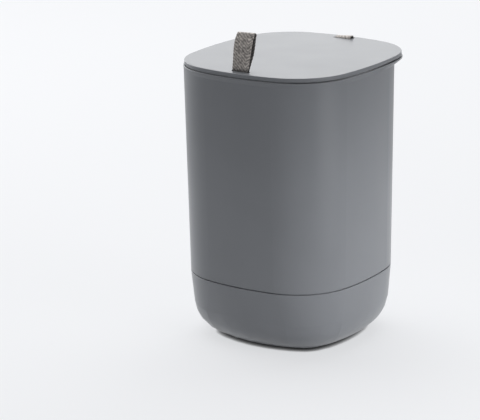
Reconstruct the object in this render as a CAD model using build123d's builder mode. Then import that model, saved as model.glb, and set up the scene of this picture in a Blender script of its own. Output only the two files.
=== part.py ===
# A kitchen bokashi bin: a bucket with a strainer, standing on a round-bottomed base that
# collects the liquid, under a flat lid with a webbing pull in front and a webbing hinge behind.
# Millimetres, +Z up, front towards -Y. The origin is the centre of the foot, on the surface
# that the bin stands on.

import os
from math import atan2, cos, degrees, hypot, radians, sqrt, tan

from build123d import *

# Heights above the surface that the bin stands on
foot_height = 1.0
seam_height = 58.0
rim_height = 240.8

# Plan of the body at its rim: a square with bowed sides and large corners
body_width = 165.0
body_side_radius = 211.0
body_corner_radius = 56.0

# Plan of the base's wall at the foot's level, where its round isn't cut yet: how far it has drawn
# in from the seam at the sides, and in front and behind, and its own bow and corners
base_side_taper = 0.9
base_end_taper = 4.55
foot_side_radius = 110.0
foot_corner_radius = 48.0

# Plan of the rim: drawn in a little in front and at the sides, longer at the back
rim_reveal = 0.6
rim_overhang = 12.8
rim_side_radius = 310.0
rim_end_radius = 206.0
rim_corner_radius = 52.0

# Walls, drafts and rounds
wall = 2.5
body_draft = 0.83
base_round = 31.4
edge_round = 0.5
overrun = 1.0

# Base: an upright band under its edge, and a foot inside the start of the bottom's round
seam_band = 0.8
foot_setback = 1.5

# Bucket: a groove above the base's edge, and a rim that flares out to carry the hinge
seam_gap = 0.8
seam_gap_depth = 1.4
rim_band = 1.0
flare_height = 2.8
rim_inner_round = 0.3
ledge_thickness = 3.0
ledge_width = 7.0
spigot_depth = 13.0
spigot_wall = 3.2
spigot_gap = 0.6
spigot_lead = 1.0

# Seal ring in the spigot's groove
seal_drop = 6.4
seal_height = 2.6
seal_depth = 1.4
seal_clearance = 0.3

# Strainer: a holed plate with crossed ribs and a ring that centres it in the ledge
strainer_thickness = 2.5
strainer_clearance = 0.6
strainer_ring_depth = 5.0
strainer_ring_wall = 1.8
strainer_rib_wall = 1.6
strainer_rib_depth = 4.0
strainer_hole = 4.8
strainer_pitch = 17.0
strainer_count = 7
strainer_rib_turns = 3

# Lid: a top plate with a short skirt that stands in from the rim's edge, a liner that plugs the
# bucket, a gasket between them
shadow_gap = 1.0
lid_setback = 0.9
lid_edge = 3.2
lid_plate = 2.2
lid_skirt_wall = 1.3
lid_edge_round = 0.5
gasket_setback = 1.9
gasket_clearance = 0.3
gasket_wall = 1.2
gasket_lip = 0.6
gasket_lip_height = 0.8
gasket_lip_pitch = 2.2
gasket_lip_count = 2
liner_wall = 1.8
liner_flange = 1.0
liner_flange_height = 2.0
liner_drop = 7.3
liner_round = 1.2
liner_clearance = 0.1
locating_rib_wall = 1.2
locating_rib_depth = 3.0

# Webbing, of one width and thickness for the pull and the hinge
webbing_width = 16.0
webbing_thickness = 1.1
webbing_gap = 0.4
slot_side_clearance = 1.1
slot_face_clearance = 0.4

# Pull: two layers through one slot, held by a rod under the lid. Above the slot the front layer
# leans back through these shares of its lean and its rise, and the back layer bows away from it
# by these shares of the parting.
pull_setback = 10.2
pull_rise = 32.1
pull_lean = 9.4
pull_parting = 2.4
pull_bend = 7.0
pull_loop_bend = 1.4
pull_path_shares = ((0.0, 0.03), (0.4, 0.39), (0.67, 0.72), (1.0, 0.98))
pull_parting_shares = (0.0, 0.8, 1.0, 0.65)
pull_shoulder_share = 0.6
fold_share = 0.9
bar_radius = 1.5
bar_chamfer = 0.2
bar_length = 28.0
bar_clearance = 0.1
saddle_wall = 3.0
saddle_width = 6.4
saddle_inset = 1.0
saddle_fit = 0.05
post_radius = 2.0

# Hinge: a loose ring round one bar of the lid and one bar of the bucket's shelf
hinge_wall_gap = 1.4
hinge_leg_spacing = 6.4
hinge_arch = 1.8
hinge_arch_round = 2.6
hinge_pivot_setback = 0.5
lid_opening = 110.0


def soft_square(half_x, half_y, side_radius, end_radius, corner_radius, inset, plane):
    """Four bowed sides joined by tangent corner arcs, all drawn in by the inset."""
    side_centre = half_x - side_radius
    end_centre = half_y - end_radius
    side_reach = side_radius - corner_radius
    end_reach = end_radius - corner_radius
    span = hypot(side_centre, end_centre)
    along = (side_reach**2 - end_reach**2 + span**2) / (2 * span)
    across = sqrt(side_reach**2 - along**2)
    corner_x = side_centre + (-along * side_centre - across * end_centre) / span
    corner_y = (along * end_centre - across * side_centre) / span
    side_angle = degrees(atan2(corner_y, corner_x - side_centre))
    end_angle = degrees(atan2(corner_y - end_centre, corner_x))
    turn = end_angle - side_angle
    side = side_radius - inset
    end = end_radius - inset
    corner = corner_radius - inset
    with BuildSketch(plane) as outline:
        with BuildLine():
            CenterArc((side_centre, 0), side, -side_angle, 2 * side_angle)
            CenterArc((corner_x, corner_y), corner, side_angle, turn)
            CenterArc((0, end_centre), end, end_angle, 180 - 2 * end_angle)
            CenterArc((-corner_x, corner_y), corner, 180 - end_angle, turn)
            CenterArc((-side_centre, 0), side, 180 - side_angle, 2 * side_angle)
            CenterArc((-corner_x, -corner_y), corner, 180 + side_angle, turn)
            CenterArc((0, -end_centre), end, 180 + end_angle, 180 - 2 * end_angle)
            CenterArc((corner_x, -corner_y), corner, 360 - end_angle, turn)
        make_face()
    return outline.sketch


def body_outline(inset, height):
    """The body's plan at its rim, drawn in by the inset, at this height."""
    half = body_width / 2
    sides = body_side_radius
    plane = Plane.XY.offset(height)
    return soft_square(half, half, sides, sides, body_corner_radius, inset, plane)


def rim_outline(inset, height):
    """The rim's plan, drawn in by the inset, at this height."""
    half_x = body_width / 2 - rim_reveal
    half_y = (rim_back + half_x) / 2
    plane = Plane((0, rim_back - half_y, height))
    return soft_square(
        half_x, half_y, rim_side_radius, rim_end_radius, rim_corner_radius, inset, plane
    )


def body_inset(height):
    """How far the drafted body has drawn in at this height."""
    return (flare_start - height) * tan(radians(body_draft))


def foot_outline(inset, height):
    """The plan of the base's wall at the foot's level, drawn in by the inset, at this height."""
    half = body_width / 2 - body_inset(seam_height)
    half_x = half - base_side_taper
    half_y = half - base_end_taper
    sides = foot_side_radius
    plane = Plane.XY.offset(height)
    return soft_square(half_x, half_y, sides, sides, foot_corner_radius, inset, plane)


def base_slice(inset, bottom, top):
    """The base's drafted form between two heights, drawn in by the inset, without its round."""
    band_outline = body_outline(body_inset(seam_height) + inset, seam_height - seam_band)
    with BuildPart() as form:
        loft([foot_outline(inset, foot_height), band_outline])
        extrude(band_outline, amount=seam_band)
        with Locations((0, 0, bottom)):
            Box(
                body_width,
                body_width,
                top - bottom,
                align=(Align.CENTER, Align.CENTER, Align.MIN),
                mode=Mode.INTERSECT,
            )
    return form.part


def webbing_ring(corners, radii):
    """The section of a closed ring of webbing along a rounded polygon of (y, z) corners."""
    with BuildSketch(Plane.YZ) as section:
        with BuildLine():
            Polyline(*corners, close=True)
        make_face()
        for corner, radius in zip(corners, radii):
            fillet(section.vertices().sort_by_distance(corner)[0], radius)
        middle = section.sketch_local
        offset(amount=webbing_thickness / 2)
        offset(middle, amount=-webbing_thickness / 2, mode=Mode.SUBTRACT)
    return section.sketch


# Levels and places worked out from the sizes above
rim_back = body_width / 2 + rim_overhang
lid_height = rim_height + shadow_gap + lid_edge
flare_start = rim_height - rim_band - flare_height
ledge_top = seam_height + ledge_thickness
ledge_inset = body_inset(seam_height) + wall + ledge_width
skirt_bottom = rim_height + shadow_gap
plate_bottom = lid_height - lid_plate
gasket_outer = wall + gasket_clearance
liner_inset = gasket_outer + gasket_lip + gasket_wall
liner_bottom = rim_height - liner_drop
slot_length = webbing_width + 2 * slot_side_clearance
pull_y = -body_width / 2 + pull_setback
bar_height = plate_bottom - webbing_thickness - 2 * bar_clearance - bar_radius
hinge_near_y = body_width / 2 + hinge_wall_gap
hinge_far_y = hinge_near_y + hinge_leg_spacing
hinge_slot_width = webbing_thickness + 2 * slot_face_clearance

# Base: the outer form is drafted to the foot and rounded under, and the hollow follows it
with BuildPart() as base_hollow:
    add(base_slice(wall, foot_height + wall, seam_height))
    fillet(base_hollow.faces().sort_by(Axis.Z)[0].edges(), base_round - wall)

with BuildPart() as base_tray:
    add(base_slice(0, foot_height, seam_height))
    fillet(base_tray.faces().sort_by(Axis.Z)[-1].edges(), edge_round)
    fillet(base_tray.faces().sort_by(Axis.Z)[0].edges(), base_round)
    extrude(foot_outline(base_round + foot_setback, foot_height), amount=-foot_height)
    add(base_hollow.part, mode=Mode.SUBTRACT)

# Bucket: drafted walls, the rim's flare and band, a ledge for the strainer and a spigot below
seam_top = seam_height + seam_gap
with BuildPart() as bucket:
    loft([body_outline(body_inset(seam_top), seam_top), body_outline(0, flare_start)])
    fillet(bucket.faces().sort_by(Axis.Z)[0].edges(), edge_round)
    extrude(body_outline(body_inset(seam_height) + seam_gap_depth, seam_height), amount=seam_gap)
    loft([body_outline(0, flare_start), rim_outline(0, flare_start + flare_height)])
    extrude(rim_outline(0, rim_height - rim_band), amount=rim_band)
    fillet(bucket.faces().sort_by(Axis.Z)[-1].edges(), edge_round)
    loft(
        [
            body_outline(body_inset(ledge_top) + wall, ledge_top),
            body_outline(body_inset(rim_height) + wall, rim_height),
        ],
        mode=Mode.SUBTRACT,
    )
    fillet(bucket.faces().sort_by(Axis.Z)[-1].inner_wires().edges(), rim_inner_round)
    extrude(body_outline(ledge_inset, seam_height), amount=ledge_thickness, mode=Mode.SUBTRACT)
    spigot_end = seam_height - spigot_depth
    spigot_inset = wall + spigot_gap
    add(base_slice(spigot_inset, spigot_end, seam_height))
    chamfer(bucket.faces().sort_by(Axis.Z)[0].edges(), spigot_lead)
    add(base_slice(spigot_inset + spigot_wall, spigot_end, seam_height), mode=Mode.SUBTRACT)

# Seal: a silicone ring that fills the spigot's groove and stands just clear of the base's wall
seal_top = seam_height - seal_drop
seal_bottom = seal_top - seal_height
seal_inner = spigot_inset + seal_depth


def drafted_ring(outer, inner):
    """A ring between two insets, over the height of the seal, that follows the base's draft."""
    with BuildPart() as ring:
        add(base_slice(outer, seal_bottom, seal_top))
        add(base_slice(inner, seal_bottom, seal_top), mode=Mode.SUBTRACT)
    return ring.part


with BuildPart() as tray_seal:
    add(drafted_ring(wall + seal_clearance, seal_inner))

# The bucket gets the seal's groove and the two slots that the hinge passes through
with bucket:
    add(drafted_ring(wall, seal_inner), mode=Mode.SUBTRACT)
    with BuildSketch(Plane.XY.offset(rim_height + overrun)):
        with Locations((0, hinge_near_y), (0, hinge_far_y)):
            SlotOverall(slot_length, hinge_slot_width)
    extrude(amount=-(rim_band + flare_height + 2 * overrun), mode=Mode.SUBTRACT)

# Strainer: it lies on the ledge, and its ring and ribs hang in the ledge's opening
strainer_inset = body_inset(ledge_top) + wall + strainer_clearance
ring_inset = ledge_inset + strainer_clearance
hole_inset = ring_inset + strainer_ring_wall + strainer_hole / 2
hole_field = body_outline(hole_inset, 0).face()
hole_places = [
    place.position
    for place in GridLocations(
        strainer_pitch, strainer_pitch, strainer_count, strainer_count
    ).local_locations
    if hole_field.is_inside(place.position)
]
with BuildPart() as strainer:
    extrude(body_outline(strainer_inset, ledge_top), amount=strainer_thickness)
    fillet(strainer.faces().sort_by(Axis.Z)[-1].edges(), edge_round)
    extrude(body_outline(ring_inset, ledge_top), amount=-strainer_ring_depth)
    extrude(
        body_outline(ring_inset + strainer_ring_wall, ledge_top),
        amount=-strainer_ring_depth,
        mode=Mode.SUBTRACT,
    )
    with BuildSketch(Plane.XY.offset(ledge_top)):
        with GridLocations(strainer_rib_turns * strainer_pitch, 0, 2, 1):
            Rectangle(strainer_rib_wall, body_width)
        with GridLocations(0, strainer_rib_turns * strainer_pitch, 1, 2):
            Rectangle(body_width, strainer_rib_wall)
        add(body_outline(ring_inset + strainer_ring_wall / 2, 0), mode=Mode.INTERSECT)
    extrude(amount=-strainer_rib_depth)
    with BuildSketch(Plane.XY.offset(ledge_top + strainer_thickness)):
        with Locations(*hole_places):
            Circle(strainer_hole / 2)
    extrude(amount=-strainer_thickness, mode=Mode.SUBTRACT)

# Lid shell: a thin plate with an edge round and a short skirt, open below
pull_slot_width = 2 * webbing_thickness + webbing_gap + 2 * slot_face_clearance
liner_inner = liner_inset + liner_wall
saddle_middle = bar_length / 2 - saddle_inset - saddle_wall / 2
with BuildPart() as lid_shell:
    extrude(rim_outline(lid_setback, skirt_bottom), amount=lid_height - skirt_bottom)
    fillet(lid_shell.faces().sort_by(Axis.Z)[-1].edges(), lid_edge_round)
    extrude(
        rim_outline(lid_setback + lid_skirt_wall, skirt_bottom),
        amount=plate_bottom - skirt_bottom,
        mode=Mode.SUBTRACT,
    )
    # A rib that the liner's wall fits round, with a gap for the pull
    rib_outer = liner_inner + liner_clearance
    with BuildSketch(Plane.XY.offset(plate_bottom)):
        add(body_outline(rib_outer, 0))
        add(body_outline(rib_outer + locating_rib_wall, 0), mode=Mode.SUBTRACT)
        with Locations((0, pull_y)):
            Rectangle(slot_length, 2 * pull_setback, mode=Mode.SUBTRACT)
    extrude(amount=-locating_rib_depth)
    # Two saddles, each with a round-ended notch for the pull's rod, open downwards
    for side in (-1, 1):
        with BuildSketch(Plane.YZ.offset(side * saddle_middle)):
            with Locations((pull_y, plate_bottom)):
                Rectangle(
                    saddle_width,
                    plate_bottom - bar_height + bar_radius,
                    align=(Align.CENTER, Align.MAX),
                )
            with Locations((pull_y, bar_height)):
                Circle(bar_radius + saddle_fit, mode=Mode.SUBTRACT)
                Rectangle(
                    2 * (bar_radius + saddle_fit),
                    bar_radius + overrun,
                    align=(Align.CENTER, Align.MAX),
                    mode=Mode.SUBTRACT,
                )
        extrude(amount=saddle_wall / 2, both=True)
    with BuildSketch(Plane.XY.offset(lid_height + overrun)):
        with Locations((0, pull_y)):
            SlotOverall(slot_length, pull_slot_width)
        with Locations((0, hinge_near_y), (0, hinge_far_y)):
            SlotOverall(slot_length, hinge_slot_width)
    extrude(amount=-(lid_plate + 2 * overrun), mode=Mode.SUBTRACT)

# Liner: a shallow pan whose wall meets the plate, with a flange below that carries the gasket
flange_top = liner_bottom + liner_flange_height
liner_floor = liner_bottom + liner_wall
with BuildPart() as lid_liner:
    extrude(body_outline(liner_inset - liner_flange, liner_bottom), amount=liner_flange_height)
    fillet(lid_liner.faces().sort_by(Axis.Z)[0].edges(), liner_round)
    extrude(body_outline(liner_inset, flange_top), amount=plate_bottom - flange_top)
    extrude(
        body_outline(liner_inner, liner_floor),
        amount=plate_bottom - liner_floor,
        mode=Mode.SUBTRACT,
    )
    # Posts that keep the rod up in its saddles
    with BuildSketch(Plane.XY.offset(liner_floor)):
        with Locations((-saddle_middle, pull_y), (saddle_middle, pull_y)):
            Circle(post_radius)
    extrude(amount=bar_height - bar_radius - liner_floor)

# Gasket: a leg that lies on the rim, and a band round the liner with lips towards the wall
with BuildPart() as lid_gasket:
    extrude(body_outline(gasket_setback, rim_height), amount=shadow_gap)
    extrude(body_outline(gasket_outer + gasket_lip, flange_top), amount=plate_bottom - flange_top)
    for turn in range(gasket_lip_count):
        lip_height = flange_top + gasket_lip_height + turn * gasket_lip_pitch
        extrude(body_outline(gasket_outer, lip_height), amount=gasket_lip_height)
    extrude(
        body_outline(liner_inset, flange_top),
        amount=plate_bottom - flange_top,
        mode=Mode.SUBTRACT,
    )

# Rod across the pull's lower loop
with BuildPart() as pull_strap_bar:
    with BuildSketch(Plane.YZ):
        with Locations((pull_y, bar_height)):
            Circle(bar_radius)
    extrude(amount=bar_length / 2, both=True)
    chamfer(pull_strap_bar.edges().filter_by(GeomType.CIRCLE), bar_chamfer)

# Pull: round the rod, up through the slot, and back over itself at the top
layer = (webbing_gap + webbing_thickness) / 2
grip = bar_radius + bar_clearance + webbing_thickness / 2
shoulder = bar_height + bar_radius * pull_shoulder_share
front_path = [
    (pull_y - layer + back * pull_lean, lid_height + up * (pull_rise - webbing_thickness / 2))
    for back, up in pull_path_shares
]
back_path = [
    (y + 2 * layer + share * pull_parting, z)
    for (y, z), share in zip(front_path, pull_parting_shares)
]
pull_corners = [
    (pull_y - layer, plate_bottom),
    (pull_y - grip, shoulder),
    (pull_y - grip, bar_height - grip),
    (pull_y + grip, bar_height - grip),
    (pull_y + grip, shoulder),
    (pull_y + layer, plate_bottom),
]
pull_corners += back_path + front_path[::-1]
fold_bend = (layer + pull_parting_shares[-1] * pull_parting / 2) * fold_share
loop_bend = grip * fold_share
path_bends = [pull_bend] * (len(front_path) - 1)
pull_radii = [pull_loop_bend, pull_loop_bend, loop_bend, loop_bend, pull_loop_bend, pull_loop_bend]
pull_radii += path_bends + [fold_bend, fold_bend] + path_bends
pull_section = webbing_ring(pull_corners, pull_radii)
with BuildPart() as pull_strap:
    extrude(pull_section, amount=webbing_width / 2, both=True)

# Hinge: the ring hangs slack under the shelf by what it needs to let the lid open fully
hinge_y = (hinge_near_y + hinge_far_y) / 2
pivot_y = rim_back + hinge_pivot_setback
pivot_z = rim_height + shadow_gap / 2
shelf_bottom = flare_start + flare_height * (hinge_y - body_width / 2) / rim_overhang
shelf_middle = (rim_height + shelf_bottom) / 2
lid_bar_rise = lid_height - lid_plate / 2 - pivot_z
shelf_bar_drop = pivot_z - shelf_middle
arm = pivot_y - hinge_y
lid_arm = hypot(arm, lid_bar_rise)
shelf_arm = hypot(arm, shelf_bar_drop)
spread = atan2(lid_bar_rise, arm) + atan2(shelf_bar_drop, arm) + radians(lid_opening)
open_span = sqrt(lid_arm**2 + shelf_arm**2 - 2 * lid_arm * shelf_arm * cos(spread))
ring_height = open_span + lid_plate / 2 + (rim_height - shelf_bottom) / 2
ring_top = lid_height + hinge_arch + webbing_thickness / 2
ring_bottom = ring_top - ring_height - webbing_thickness
hinge_corners = [
    (hinge_near_y, ring_bottom),
    (hinge_far_y, ring_bottom),
    (hinge_far_y, ring_top),
    (hinge_near_y, ring_top),
]
hinge_fold = hinge_leg_spacing / 2 * fold_share
hinge_radii = [hinge_fold, hinge_fold, hinge_arch_round, hinge_arch_round]
hinge_section = webbing_ring(hinge_corners, hinge_radii)
with BuildPart() as hinge_strap:
    extrude(hinge_section, amount=webbing_width / 2, both=True)

pieces = {
    "base_tray": base_tray,
    "tray_seal": tray_seal,
    "bucket": bucket,
    "strainer": strainer,
    "lid_shell": lid_shell,
    "lid_liner": lid_liner,
    "lid_gasket": lid_gasket,
    "pull_strap_bar": pull_strap_bar,
    "pull_strap": pull_strap,
    "hinge_strap": hinge_strap,
}
os.makedirs("parts", exist_ok=True)
for name, piece in pieces.items():
    piece.part.label = name
    export_step(piece.part, f"parts/{name}.step")
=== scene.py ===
# The visual model of a kitchen bokashi bin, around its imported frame: moulded plastic on the
# frame's own solids, woven webbing in place of the two plain strap solids, and a pale studio.
# Metres, +Z up, front towards -Y. Webbing sizes are in millimetres until they meet a mesh.
import math

import bpy
import numpy as np
from mathutils import Matrix, Vector


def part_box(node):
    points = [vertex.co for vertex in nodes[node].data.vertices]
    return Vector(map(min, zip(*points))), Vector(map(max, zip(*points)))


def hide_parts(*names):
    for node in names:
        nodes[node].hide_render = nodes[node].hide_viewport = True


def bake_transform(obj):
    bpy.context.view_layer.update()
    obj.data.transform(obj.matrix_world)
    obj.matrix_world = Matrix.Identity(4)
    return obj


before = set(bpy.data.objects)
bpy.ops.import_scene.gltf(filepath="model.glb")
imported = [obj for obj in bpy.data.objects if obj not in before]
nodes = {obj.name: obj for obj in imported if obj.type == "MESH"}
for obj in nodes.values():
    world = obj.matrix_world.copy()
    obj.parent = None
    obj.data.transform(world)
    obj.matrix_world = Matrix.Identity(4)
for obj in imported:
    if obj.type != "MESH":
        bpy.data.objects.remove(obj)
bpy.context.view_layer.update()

MM = 0.001

# Camera, from the fit to the photograph's outlines: a long lens, slightly above the lid
AZIMUTH = math.radians(33.867)
ELEVATION = math.radians(16.36)
ROLL = math.radians(-0.93)
DISTANCE = 2.01939
AIM_HEIGHT = 0.100
AIM_RIGHT_PX = 50.673
AIM_UP_PX = 8.934
FOCAL_PX = 2317.14
FRAME_WIDTH_PX = 480
SENSOR_MM = 36.0
CLIP_NEAR = 0.05
CLIP_FAR = 50.0

# Colours, linear, and how rough each surface is
PLASTIC = (0.176, 0.184, 0.198)
PLASTIC_ROUGHNESS = 0.30
PLASTIC_SPREAD = 0.03
ROD = (0.03, 0.03, 0.032)
ROD_ROUGHNESS = 0.35
ROD_SPREAD = 0.1
MARKS_ROUGHNESS = 0.04
SILICONE = (0.150, 0.155, 0.165)
SILICONE_ROUGHNESS = 0.6
DUST_SHARE = 1.5
YARN_LIGHT = (0.60, 0.55, 0.51)
# The dark yarn colour is partly the yarn's own and partly painted shade
YARN_DARK_AND_SHADE = (0.085, 0.08, 0.076)
YARN_ROUGHNESS = 0.85
FIBRE_DARK = 0.45
FIBRE_LIGHT = 1.35
FLOOR = (0.79, 0.80, 0.82)
FLOOR_ROUGHNESS = 0.6
# Painted contact shadow: the floor's colour to the camera close under the bin
CONTACT_SHADOW_DARK = 0.02
SURROUND = (0.97, 0.98, 1.0)

# Light: the surround's strength for soft light and as seen, how far the floor glows to the
# camera, how close under the bin its painted contact shadow reaches, and where its painted pool
# of light, seen in reflections and bounced light, falls off
AMBIENT = 0.27
SURROUND_SEEN = 1.0
FLOOR_GLOW_SHARE = 0.72
FLOOR_GLOW = 0.90
CONTACT_REACH = 0.004
CONTACT_POWER = 2.0
BRIGHT_NEAR = 0.40
BRIGHT_FAR = 0.70
FAR_SHARE = 0.5
FLOOR_REACH = 9.0

# Webbing, millimetres: its width, its thickness and the step between the mesh's points
WIDTH = 16.0
THICKNESS = 1.1
STEP = 0.22

# Weave: slanted ridges that turn near the right edge, crossed by fine picks, swayed by waves
# that are given in radians per millimetre along and across the webbing
RIDGE_PITCH = 2.75
RIDGE_SLANT = 0.87
RIDGE_HEIGHT = 0.16
RIDGE_SHARE = 0.6
PICK_PITCH = 1.0
PICK_SLANT = 0.2
PICK_SHARE = 0.4
TURN_FROM_EDGE = 3.0
SWAY = 0.22
SWAY_WAVES = ((0.9, 0.5), (0.37, -1.1))
SELVEDGE_WAVE = 0.012
SELVEDGE_RELIEF = 0.35

# Tones of the weave, as shares: painted shade inside a loop, evened out and lifted towards a
# light tone, and painted shade close to the lid
INNER_SHADE_TONE = 0.3
EVEN_TONE = 0.75
FOOT_SHADE_TONE = 0.25

# Pull: how it rises, leans back and parts above its slot, and how its right edge twists back
PULL_RISE = 32.1
PULL_LEAN = 9.4
PULL_PARTING = 3.6
PULL_TWIST = 1.1
PULL_CURL = 0.85
CURL_POWER = 1.6
PULL_PATH = ((0.0, 0.03), (0.28, 0.40), (0.43, 0.62), (0.66, 0.82), (1.0, 0.98))
PULL_PARTING_SHARES = (0.0, 0.9, 1.0, 0.75, 0.43)
PULL_EVENNESS = 0.25
PULL_FOOT_SHADE = 3.0
SLOT_GAP = 0.4
LID_PLATE = 2.2
ROD_CLEARANCE = 0.1
SHOULDER_SHARE = 0.6
LOOP_BEND = 1.4
SLOW_BEND = 7.0
FOLD_SHARE = 0.9

# Hinge: how high its arch stands over the lid, higher on the right, and a little off centre
HINGE_RISE = 1.45
HINGE_ASIDE = 0.6
HINGE_TOP_BEND = 3.0
# Painted light on the hinge's top: its tones are evened and lifted above the pull's
HINGE_EVENNESS_AND_LIGHT = 0.85
HINGE_FOOT_SHADE = 0.3
ARCH_TILT = 0.7


def principled(name, color, roughness):
    """A new material, its node tree and its shader."""
    material = bpy.data.materials.new(name)
    material.use_nodes = True
    tree = material.node_tree
    shader = tree.nodes["Principled BSDF"]
    shader.inputs["Base Color"].default_value = (*color, 1)
    shader.inputs["Roughness"].default_value = roughness
    return material, tree, shader


def noise(tree, scale, detail):
    """The factor of a noise texture on object coordinates."""
    texture = tree.nodes.new("ShaderNodeTexNoise")
    texture.inputs["Scale"].default_value = scale
    texture.inputs["Detail"].default_value = detail
    coordinates = tree.nodes.new("ShaderNodeTexCoord").outputs["Object"]
    tree.links.new(coordinates, texture.inputs["Vector"])
    return texture.outputs["Fac"]


def ramp(tree, factor, low, high, place=(0.0, 1.0)):
    """A colour between two others along a factor, from one place on it to another."""
    mapped = tree.nodes.new("ShaderNodeValToRGB")
    mapped.color_ramp.elements[0].position = place[0]
    mapped.color_ramp.elements[1].position = place[1]
    mapped.color_ramp.elements[0].color = (*low, 1)
    mapped.color_ramp.elements[1].color = (*high, 1)
    tree.links.new(factor, mapped.inputs["Fac"])
    return mapped.outputs["Color"]


def grey(value):
    return (value, value, value)


def scaled(color, share):
    return tuple(channel * share for channel in color)


def bump(tree, height, strength, distance, normal=None):
    """The normal of a bump on a height, over another normal where one is given."""
    node = tree.nodes.new("ShaderNodeBump")
    node.inputs["Strength"].default_value = strength
    node.inputs["Distance"].default_value = distance
    tree.links.new(height, node.inputs["Height"])
    if normal is not None:
        tree.links.new(normal, node.inputs["Normal"])
    return node.outputs["Normal"]


def combine(tree, operation, first, second):
    """Two values through one operation, where the second may be a plain number."""
    node = tree.nodes.new("ShaderNodeMath")
    node.operation = operation
    tree.links.new(first, node.inputs[0])
    if isinstance(second, float):
        node.inputs[1].default_value = second
    else:
        tree.links.new(second, node.inputs[1])
    return node.outputs[0]


def moulded_plastic(name, color, roughness, spread):
    """Satin moulded plastic: slow tone changes, a spark-eroded grain, faint handling marks."""
    material, tree, shader = principled(name, color, roughness)
    slow = noise(tree, scale=14.0, detail=3.0)
    darker, lighter = scaled(color, 1 - spread), scaled(color, 1 + spread)
    tone = ramp(tree, slow, darker, lighter, place=(0.3, 0.7))
    tree.links.new(tone, shader.inputs["Base Color"])
    marks = tree.nodes.new("ShaderNodeMapRange")
    marks.inputs["To Min"].default_value = roughness - MARKS_ROUGHNESS
    marks.inputs["To Max"].default_value = roughness + MARKS_ROUGHNESS
    tree.links.new(noise(tree, scale=24.0, detail=2.0), marks.inputs["Value"])
    tree.links.new(marks.outputs["Result"], shader.inputs["Roughness"])
    fine = noise(tree, scale=2600.0, detail=2.0)
    grain = bump(tree, fine, strength=0.25, distance=0.00004)
    slack = noise(tree, scale=9.0, detail=1.0)
    sink = bump(tree, slack, strength=0.2, distance=0.0008, normal=grain)
    tree.links.new(sink, shader.inputs["Normal"])
    return material


def silicone(name, color):
    """Matt silicone with a fine grain and some dust."""
    material, tree, shader = principled(name, color, SILICONE_ROUGHNESS)
    fine = noise(tree, scale=3000.0, detail=2.0)
    grain = bump(tree, fine, strength=0.3, distance=0.00003)
    tree.links.new(grain, shader.inputs["Normal"])
    dust = noise(tree, scale=160.0, detail=4.0)
    tone = ramp(tree, dust, color, scaled(color, DUST_SHARE), place=(0.45, 0.8))
    tree.links.new(tone, shader.inputs["Base Color"])
    return material


def webbing(name):
    """Woven webbing: tone from groove to ridge, its dark end partly painted shade."""
    material, tree, shader = principled(name, YARN_LIGHT, YARN_ROUGHNESS)
    tone = tree.nodes.new("ShaderNodeAttribute")
    tone.attribute_name = "weave"
    # From the dark yarn and painted shade in the grooves to the light yarn on the ridges
    yarn = ramp(tree, tone.outputs["Fac"], YARN_DARK_AND_SHADE, YARN_LIGHT, place=(0.1, 0.75))
    patches = noise(tree, scale=520.0, detail=4.0)
    fibre = ramp(tree, patches, grey(FIBRE_DARK), grey(FIBRE_LIGHT), place=(0.32, 0.68))
    mix = tree.nodes.new("ShaderNodeMix")
    mix.data_type = "RGBA"
    mix.blend_type = "MULTIPLY"
    mix.inputs["Factor"].default_value = 1.0
    tree.links.new(yarn, mix.inputs["A"])
    tree.links.new(fibre, mix.inputs["B"])
    tree.links.new(mix.outputs["Result"], shader.inputs["Base Color"])
    shader.inputs["Sheen Weight"].default_value = 0.6
    shader.inputs["Sheen Roughness"].default_value = 0.5
    hairs = noise(tree, scale=4200.0, detail=2.0)
    fuzz = bump(tree, hairs, strength=0.5, distance=0.00006)
    tree.links.new(fuzz, shader.inputs["Normal"])
    return material


plastic = moulded_plastic("satin_grey_plastic", PLASTIC, PLASTIC_ROUGHNESS, PLASTIC_SPREAD)
rubber = silicone("dark_silicone", SILICONE)
woven = webbing("woven_webbing")
rod_plastic = moulded_plastic("rod_plastic", ROD, ROD_ROUGHNESS, ROD_SPREAD)

finishes = {
    "base_tray": plastic,
    "bucket": plastic,
    "strainer": plastic,
    "lid_shell": plastic,
    "lid_liner": plastic,
    "tray_seal": rubber,
    "lid_gasket": rubber,
    "pull_strap_bar": rod_plastic,
}
for node, finish in finishes.items():
    mesh = nodes[node].data
    mesh.materials.clear()
    mesh.materials.append(finish)


def rounded(corners, radii):
    """A closed polygon in (y, z) with an arc at each corner, as evenly spaced points.

    It gives the points and how far along the loop each of them lies.
    """
    points = []
    count = len(corners)
    for i in range(count):
        before = np.array(corners[i - 1], float)
        here = np.array(corners[i], float)
        after = np.array(corners[(i + 1) % count], float)
        u = (before - here) / np.linalg.norm(before - here)
        v = (after - here) / np.linalg.norm(after - here)
        angle = math.acos(float(np.clip(u @ v, -1, 1)))
        reach = radii[i] / math.tan(angle / 2)
        start, end = here + u * reach, here + v * reach
        centre = here + (u + v) / np.linalg.norm(u + v) * radii[i] / math.sin(angle / 2)
        turn = math.pi - angle
        steps = max(2, int(radii[i] * turn / STEP) + 1)
        a, b = start - centre, end - centre
        for k in range(steps + 1):
            t = k / steps
            w0 = math.sin((1 - t) * turn) / math.sin(turn)
            w1 = math.sin(t * turn) / math.sin(turn)
            points.append(centre + a * w0 + b * w1)
    points = np.array(points)
    loop = np.vstack([points, points[:1]])
    lengths = np.concatenate([[0], np.cumsum(np.linalg.norm(np.diff(loop, axis=0), axis=1))])
    stations = int(round(lengths[-1] / STEP))
    along = np.linspace(0, lengths[-1], stations, endpoint=False)
    y = np.interp(along, lengths, loop[:, 0])
    z = np.interp(along, lengths, loop[:, 1])
    return np.column_stack([y, z]), along


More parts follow.
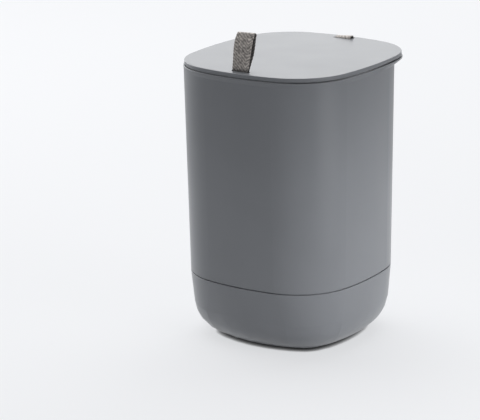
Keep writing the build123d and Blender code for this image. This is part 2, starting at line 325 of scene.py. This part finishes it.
def weave(x, s):
    """Height of a twill, 0 to 1, at x across the webbing and s along it."""
    turn = WIDTH / 2 - TURN_FROM_EDGE
    fold = np.where(x > turn, 2 * turn - x, x)
    sway = SWAY * sum(np.sin(s * along + x * across) for along, across in SWAY_WAVES)
    ridge = 0.5 + 0.5 * np.cos(2 * np.pi * (s - RIDGE_SLANT * fold + sway) / RIDGE_PITCH)
    pick = 0.5 + 0.5 * np.cos(2 * np.pi * (s + x * PICK_SLANT) / PICK_PITCH)
    return RIDGE_SHARE * ridge + PICK_SHARE * pick


def webbing_mesh(name, corners, radii, lean, evenness, foot_shade, aside=0.0):
    """A closed loop of webbing with its weave and painted shade in the mesh.

    lean moves points in y and z, evenness calms the weave's tones and lifts them towards a light
    tone, foot_shade is the height over the lid up to which painted shade darkens them, and aside
    shifts the loop along X.
    """
    path, along = rounded(corners, radii)
    tangent = np.roll(path, -1, axis=0) - np.roll(path, 1, axis=0)
    tangent /= np.linalg.norm(tangent, axis=1)[:, None]
    normal = np.column_stack([tangent[:, 1], -tangent[:, 0]])
    columns = int(round(WIDTH / STEP))
    across = np.linspace(-WIDTH / 2, WIDTH / 2, columns + 1)
    section_x = np.concatenate([across, across[::-1]])
    side = np.concatenate([np.ones(columns + 1), -np.ones(columns + 1)])
    stations, ring = len(path), len(section_x)
    x = np.tile(section_x, (stations, 1))
    s = np.tile(along[:, None], (1, ring))
    height = weave(x, s * side)
    edge = np.clip((WIDTH / 2 - np.abs(x)) / (THICKNESS / 2), 0, 1)
    body = np.sqrt(1 - (1 - edge) ** 2)
    relief = RIDGE_HEIGHT * height * np.maximum(body, SELVEDGE_RELIEF)
    half = (THICKNESS / 2 - RIDGE_HEIGHT) * body + relief
    selvedge = 1 + SELVEDGE_WAVE * np.cos(2 * np.pi * s / RIDGE_PITCH) * (1 - edge)
    y = path[:, 0][:, None] + normal[:, 0][:, None] * half * side
    z = path[:, 1][:, None] + normal[:, 1][:, None] * half * side
    x = x * selvedge
    y, z = lean(x, y, z)
    points = np.column_stack([x.ravel() + aside, y.ravel(), z.ravel()]) * MM
    i, j = np.meshgrid(np.arange(stations), np.arange(ring), indexing="ij")
    ni, nj = (i + 1) % stations, (j + 1) % ring
    quads = np.stack(
        [i * ring + j, i * ring + nj, ni * ring + nj, ni * ring + j], axis=-1
    )
    mesh = bpy.data.meshes.new(name)
    mesh.from_pydata(points.tolist(), [], quads.reshape(-1, 4).tolist())
    # Evenness calms the weave and lifts its tone towards a light one; on the hinge partly
    # painted light
    tone = height + (EVEN_TONE - height) * evenness
    # Painted shade: the loop's inner faces, between its layers, are darkened
    tone = np.where(side < 0, tone * INNER_SHADE_TONE, tone)
    # Painted shade: the webbing darkens close to the lid, where it goes into its slot
    tone = tone * np.clip((z - lid_top) / foot_shade, FOOT_SHADE_TONE, 1)
    weave_and_shade_tone = mesh.attributes.new("weave", "FLOAT", "POINT")
    weave_and_shade_tone.data.foreach_set("value", tone.ravel().astype(np.float32))
    mesh.materials.append(woven)
    mesh.polygons.foreach_set("use_smooth", [True] * len(mesh.polygons))
    obj = bpy.data.objects.new(name, mesh)
    bpy.context.scene.collection.objects.link(obj)
    return obj


def box_mm(node):
    """The lowest and highest corner of a node's solid, in millimetres."""
    low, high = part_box(node)
    return np.array(low) / MM, np.array(high) / MM


lid_low, lid_high = box_mm("lid_shell")
lid_top = lid_high[2]

# Pull: the loop round the rod under the lid, both layers through the slot, and the open fold
rod_low, rod_high = box_mm("pull_strap_bar")
rod_y = (rod_low[1] + rod_high[1]) / 2
rod_z = (rod_low[2] + rod_high[2]) / 2
rod_radius = (rod_high[2] - rod_low[2]) / 2
layer_offset = (SLOT_GAP + THICKNESS) / 2
grip = rod_radius + ROD_CLEARANCE + THICKNESS / 2
plate_bottom = lid_top - LID_PLATE
shoulder = rod_z + rod_radius * SHOULDER_SHARE
front = [
    (rod_y - layer_offset + back * PULL_LEAN, lid_top + up * (PULL_RISE - THICKNESS / 2))
    for back, up in PULL_PATH
]
rear = [
    (y + 2 * layer_offset + share * PULL_PARTING, z)
    for (y, z), share in zip(front, PULL_PARTING_SHARES)
]
rod_loop = [
    (rod_y - layer_offset, plate_bottom),
    (rod_y - grip, shoulder),
    (rod_y - grip, rod_z - grip),
    (rod_y + grip, rod_z - grip),
    (rod_y + grip, shoulder),
    (rod_y + layer_offset, plate_bottom),
]
pull_corners = rod_loop + rear + front[::-1]
rod_bends = [LOOP_BEND] * 2 + [grip * FOLD_SHARE] * 2 + [LOOP_BEND] * 2
slow_bends = [SLOW_BEND] * (len(PULL_PATH) - 1)
fold_bends = [(layer_offset + PULL_PARTING_SHARES[-1] * PULL_PARTING / 2) * FOLD_SHARE] * 2
pull_bends = rod_bends + slow_bends + fold_bends + slow_bends


def twist(x, y, z):
    """The pull's right edge leans back a little more than its left one."""
    rise = np.clip((z - lid_top) / PULL_RISE, 0, 1)
    curl = PULL_CURL * np.sin(np.pi * rise**CURL_POWER)
    return y + x / (WIDTH / 2) * (PULL_TWIST * rise + curl), z


pull = webbing_mesh(
    "pull_webbing", pull_corners, pull_bends, twist, PULL_EVENNESS, PULL_FOOT_SHADE
)
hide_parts("pull_strap")

# Hinge: a loose ring through the lid and the bucket's shelf
ring_low, ring_high = box_mm("hinge_strap")
half_thickness = THICKNESS / 2
near, far = ring_low[1] + half_thickness, ring_high[1] - half_thickness
bottom, top = ring_low[2] + half_thickness, lid_top + HINGE_RISE
hinge_corners = [(near, bottom), (far, bottom), (far, top), (near, top)]
hinge_bends = [(far - near) / 2 * FOLD_SHARE] * 2 + [HINGE_TOP_BEND] * 2


def arch(x, y, z):
    """The hinge's arch stands a little higher on the right."""
    rise = np.clip((z - lid_top) / (top - lid_top), 0, 1)
    return y, z + x / (WIDTH / 2) * ARCH_TILT * rise


hinge = webbing_mesh(
    "hinge_webbing",
    hinge_corners,
    hinge_bends,
    arch,
    HINGE_EVENNESS_AND_LIGHT,
    HINGE_FOOT_SHADE,
    HINGE_ASIDE,
)
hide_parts("hinge_strap")

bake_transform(pull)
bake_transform(hinge)


def seen_by_camera(tree):
    """1 for rays that come from the camera."""
    return tree.nodes.new("ShaderNodeLightPath").outputs["Is Camera Ray"]


def seen_in_reflections(tree):
    """1 for rays that reflections and glass send out."""
    path = tree.nodes.new("ShaderNodeLightPath")
    glossy, through = path.outputs["Is Glossy Ray"], path.outputs["Is Transmission Ray"]
    return combine(tree, "MAXIMUM", glossy, through)


def near_share(tree):
    """1 on the floor near the bin, falling to a share far from it."""
    place = tree.nodes.new("ShaderNodeTexCoord").outputs["Object"]
    length = tree.nodes.new("ShaderNodeVectorMath")
    length.operation = "LENGTH"
    tree.links.new(place, length.inputs[0])
    fall = tree.nodes.new("ShaderNodeMapRange")
    fall.interpolation_type = "SMOOTHSTEP"
    fall.inputs["From Min"].default_value = BRIGHT_NEAR
    fall.inputs["From Max"].default_value = BRIGHT_FAR
    fall.inputs["To Min"].default_value = 1.0
    fall.inputs["To Max"].default_value = FAR_SHARE
    tree.links.new(length.outputs["Value"], fall.inputs["Value"])
    return fall.outputs["Result"]


def openness(tree):
    """1 where the floor lies open, falling to 0 close under the bin."""
    hidden = tree.nodes.new("ShaderNodeAmbientOcclusion")
    hidden.inputs["Distance"].default_value = CONTACT_REACH
    return combine(tree, "POWER", hidden.outputs["AO"], CONTACT_POWER)


def lit_white(tree, surface, share, strength):
    """Mix a surface with white light for the camera, and near the bin for reflections."""
    mirrored = combine(tree, "MULTIPLY", seen_in_reflections(tree), near_share(tree))
    seen = combine(tree, "MAXIMUM", seen_by_camera(tree), mirrored)
    opened = combine(tree, "MULTIPLY", openness(tree), share)
    glow = tree.nodes.new("ShaderNodeEmission")
    glow.inputs["Color"].default_value = (*SURROUND, 1)
    glow.inputs["Strength"].default_value = strength
    mix = tree.nodes.new("ShaderNodeMixShader")
    tree.links.new(combine(tree, "MULTIPLY", seen, opened), mix.inputs["Fac"])
    tree.links.new(surface, mix.inputs[1])
    tree.links.new(glow.outputs["Emission"], mix.inputs[2])
    return mix.outputs["Shader"]


def background(tree, node, strength):
    """A background node in the surround's colour, at a strength."""
    node.inputs["Color"].default_value = (*SURROUND, 1)
    node.inputs["Strength"].default_value = strength
    return node.outputs["Background"]


# Surround: soft light on the bin, and white to the camera and in reflections
world = bpy.data.worlds.new("surround")
bpy.context.scene.world = world
world.use_nodes = True
sky = world.node_tree
soft = background(sky, sky.nodes["Background"], AMBIENT)
white = background(sky, sky.nodes.new("ShaderNodeBackground"), SURROUND_SEEN)
sky_mix = sky.nodes.new("ShaderNodeMixShader")
sky_seen = combine(sky, "MAXIMUM", seen_by_camera(sky), seen_in_reflections(sky))
sky.links.new(sky_seen, sky_mix.inputs["Fac"])
sky.links.new(soft, sky_mix.inputs[1])
sky.links.new(white, sky_mix.inputs[2])
sky.links.new(sky_mix.outputs["Shader"], sky.nodes["World Output"].inputs["Surface"])

# Floor: pale, with a painted contact shadow close under the bin to the camera, and a painted
# pool of light near the bin, dimmer far off, to all rays but the camera's
floor_mesh = bpy.data.meshes.new("floor")
floor_mesh.from_pydata(
    [
        (-FLOOR_REACH, -FLOOR_REACH, 0),
        (FLOOR_REACH, -FLOOR_REACH, 0),
        (FLOOR_REACH, FLOOR_REACH, 0),
        (-FLOOR_REACH, FLOOR_REACH, 0),
    ],
    [],
    [(0, 1, 2, 3)],
)
floor = bpy.data.objects.new("floor", floor_mesh)
bpy.context.scene.collection.objects.link(floor)
floor_material, floor_tree, floor_shader = principled("pale_floor", FLOOR, FLOOR_ROUGHNESS)
floor_shader.inputs["Specular IOR Level"].default_value = 0.0
floor_surface = lit_white(
    floor_tree, floor_shader.outputs["BSDF"], FLOOR_GLOW_SHARE, FLOOR_GLOW
)
# Painted pool of light: to all rays but the camera's, the floor's colour dims away from the bin
far_dark = scaled(FLOOR, FAR_SHARE)
dimmed = ramp(floor_tree, near_share(floor_tree), far_dark, FLOOR, place=(FAR_SHARE, 1.0))
# Painted contact shadow: to the camera, the floor's colour darkens close under the bin
painted_contact_shadow = ramp(floor_tree, openness(floor_tree), grey(CONTACT_SHADOW_DARK), FLOOR)
floor_color = floor_tree.nodes.new("ShaderNodeMix")
floor_color.data_type = "RGBA"
floor_tree.links.new(seen_by_camera(floor_tree), floor_color.inputs["Factor"])
floor_tree.links.new(dimmed, floor_color.inputs["A"])
floor_tree.links.new(painted_contact_shadow, floor_color.inputs["B"])
floor_tree.links.new(floor_color.outputs["Result"], floor_shader.inputs["Base Color"])
floor_tree.links.new(floor_surface, floor_tree.nodes["Material Output"].inputs["Surface"])
floor_mesh.materials.append(floor_material)


def lamp(name, place, aim, size, power, mirrored=True, spread=180.0):
    """A soft rectangular lamp at a place, turned towards another, with its spread in degrees."""
    data = bpy.data.lights.new(name, "AREA")
    data.shape = "RECTANGLE"
    data.size, data.size_y = size
    data.energy = power
    data.spread = math.radians(spread)
    obj = bpy.data.objects.new(name, data)
    obj.location = place
    obj.rotation_euler = (Vector(aim) - Vector(place)).to_track_quat("-Z", "Y").to_euler()
    obj.visible_glossy = mirrored
    bpy.context.scene.collection.objects.link(obj)


# Lamps: a wide one overhead, one behind the bin, and a weak one on each side
lamp("overhead", place=(-0.9, 1.3, 3.0), aim=(0.0, 0.4, 0.0), size=(4.0, 3.0), power=120.0)
lamp("behind", place=(-1.6, 2.1, 0.9), aim=(0.0, 0.0, 0.2), size=(2.6, 1.4), power=8.0)
lamp(
    "left",
    place=(-1.8, 0.2, 0.6),
    aim=(0.0, 0.0, 0.12),
    size=(1.6, 1.2),
    power=5.5,
    spread=100.0,
)
lamp(
    "right",
    place=(0.61, -0.04, 0.12),
    aim=(0.06, 0.0, 0.06),
    size=(0.40, 0.20),
    power=0.36,
    mirrored=False,
    spread=60.0,
)


def set_camera():
    """The photograph's viewpoint: a long lens aimed so that the bin sits where it does there."""
    back = Vector(
        (
            math.sin(AZIMUTH) * math.cos(ELEVATION),
            -math.cos(AZIMUTH) * math.cos(ELEVATION),
            math.sin(ELEVATION),
        )
    )
    right = Vector((math.cos(AZIMUTH), math.sin(AZIMUTH), 0))
    up = back.cross(right)
    place = back * DISTANCE + Vector((0, 0, AIM_HEIGHT))
    z = (back + right * (AIM_RIGHT_PX / FOCAL_PX) - up * (AIM_UP_PX / FOCAL_PX)).normalized()
    x = Vector((0, 0, 1)).cross(z).normalized()
    y = z.cross(x)
    rolled_x = x * math.cos(ROLL) + y * math.sin(ROLL)
    rolled_y = -x * math.sin(ROLL) + y * math.cos(ROLL)
    turn = Matrix((rolled_x, rolled_y, z)).transposed().to_4x4()
    data = bpy.data.cameras.new("camera")
    data.sensor_width = SENSOR_MM
    data.sensor_fit = "HORIZONTAL"
    data.lens = FOCAL_PX * SENSOR_MM / FRAME_WIDTH_PX
    data.clip_start, data.clip_end = CLIP_NEAR, CLIP_FAR
    camera = bpy.data.objects.new("camera", data)
    camera.matrix_world = Matrix.Translation(place) @ turn
    bpy.context.scene.collection.objects.link(camera)
    bpy.context.scene.camera = camera


set_camera()
bpy.context.scene.view_settings.view_transform = "Standard"
